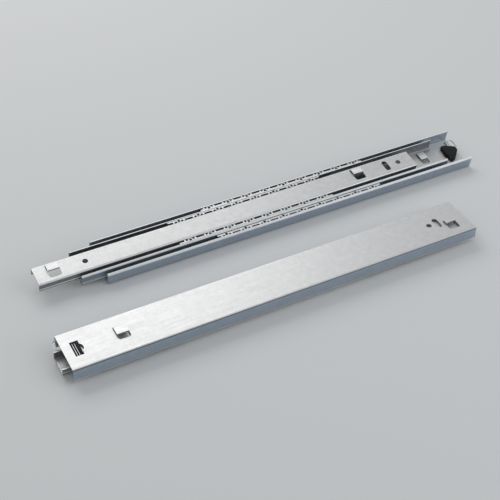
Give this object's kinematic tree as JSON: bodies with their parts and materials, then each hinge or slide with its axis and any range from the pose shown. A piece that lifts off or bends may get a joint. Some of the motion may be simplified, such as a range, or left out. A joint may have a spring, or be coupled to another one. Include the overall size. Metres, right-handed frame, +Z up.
{
  "type": "telescopic server rail pair",
  "caption": "Two telescopic ball-bearing rails of roll-formed steel with lanced bayonet hooks, one open side up and partly drawn out, the other closed and back up.",
  "frame": {"origin": "centre of the pair's footprint, on the surface that the rails lie on", "axes": "+X along the rails, towards the left rail's rear end and the right rail's front end; +Y from the closed right rail to the open left one; +Z up"},
  "size_m": [0.4792, 0.143, 0.0205],
  "materials": {
    "zinc_plated_sheet": "bright zinc-plated sheet, satin",
    "cage_strip": "bright pressed strip",
    "bearing_steel": "polished",
    "black_plastic": "moulded, satin",
    "bright_wire": "bright drawn wire"
  },
  "bodies": {
    "outer_members": {"left_outer_member": "zinc_plated_sheet", "left_detent_block": "black_plastic", "left_detent_spring": "bright_wire", "right_outer_member": "zinc_plated_sheet", "right_detent_block": "black_plastic", "right_detent_spring": "bright_wire"},
    "left_middle": {"left_middle_member": "zinc_plated_sheet"},
    "left_inner": {"left_inner_member": "zinc_plated_sheet"},
    "left_outer_cages": {"left_outer_near_cage": "cage_strip", "left_outer_near_balls": "bearing_steel", "left_outer_far_cage": "cage_strip", "left_outer_far_balls": "bearing_steel"},
    "left_inner_cages": {"left_inner_near_cage": "cage_strip", "left_inner_near_balls": "bearing_steel", "left_inner_far_cage": "cage_strip", "left_inner_far_balls": "bearing_steel"},
    "right_middle": {"right_middle_member": "zinc_plated_sheet"},
    "right_inner": {"right_inner_member": "zinc_plated_sheet"},
    "right_outer_cages": {"right_outer_near_cage": "cage_strip", "right_outer_near_balls": "bearing_steel", "right_outer_far_cage": "cage_strip", "right_outer_far_balls": "bearing_steel"},
    "right_inner_cages": {"right_inner_near_cage": "cage_strip", "right_inner_near_balls": "bearing_steel", "right_inner_far_cage": "cage_strip", "right_inner_far_balls": "bearing_steel"}
  },
  "joints": [
    {"name": "left_middle_slide", "type": "slide", "parent": "outer_members", "child": "left_middle", "axis": [-1, 0, 0], "range_m": [-0.02, 0.164]},
    {"name": "left_inner_slide", "type": "slide", "parent": "left_middle", "child": "left_inner", "axis": [-1, 0, 0], "range_m": [-0.0464, 0.1656]},
    {"name": "left_outer_cages_roll", "type": "slide", "parent": "outer_members", "child": "left_outer_cages", "axis": [-1, 0, 0], "range_m": [-0.01, 0.082]},
    {"name": "left_inner_cages_roll", "type": "slide", "parent": "left_middle", "child": "left_inner_cages", "axis": [-1, 0, 0], "range_m": [-0.0232, 0.0828]},
    {"name": "right_middle_slide", "type": "slide", "parent": "outer_members", "child": "right_middle", "axis": [1, 0, 0], "range_m": [0, 0.184]},
    {"name": "right_inner_slide", "type": "slide", "parent": "right_middle", "child": "right_inner", "axis": [1, 0, 0], "range_m": [0, 0.212]},
    {"name": "right_outer_cages_roll", "type": "slide", "parent": "outer_members", "child": "right_outer_cages", "axis": [1, 0, 0], "range_m": [0, 0.092]},
    {"name": "right_inner_cages_roll", "type": "slide", "parent": "right_middle", "child": "right_inner_cages", "axis": [1, 0, 0], "range_m": [0, 0.106]}
  ],
  "couplings": [
    {"joint": "left_outer_cages_roll", "follows": "left_middle_slide", "ratio": 0.5},
    {"joint": "left_inner_cages_roll", "follows": "left_inner_slide", "ratio": 0.5},
    {"joint": "right_outer_cages_roll", "follows": "right_middle_slide", "ratio": 0.5},
    {"joint": "right_inner_cages_roll", "follows": "right_inner_slide", "ratio": 0.5}
  ]
}
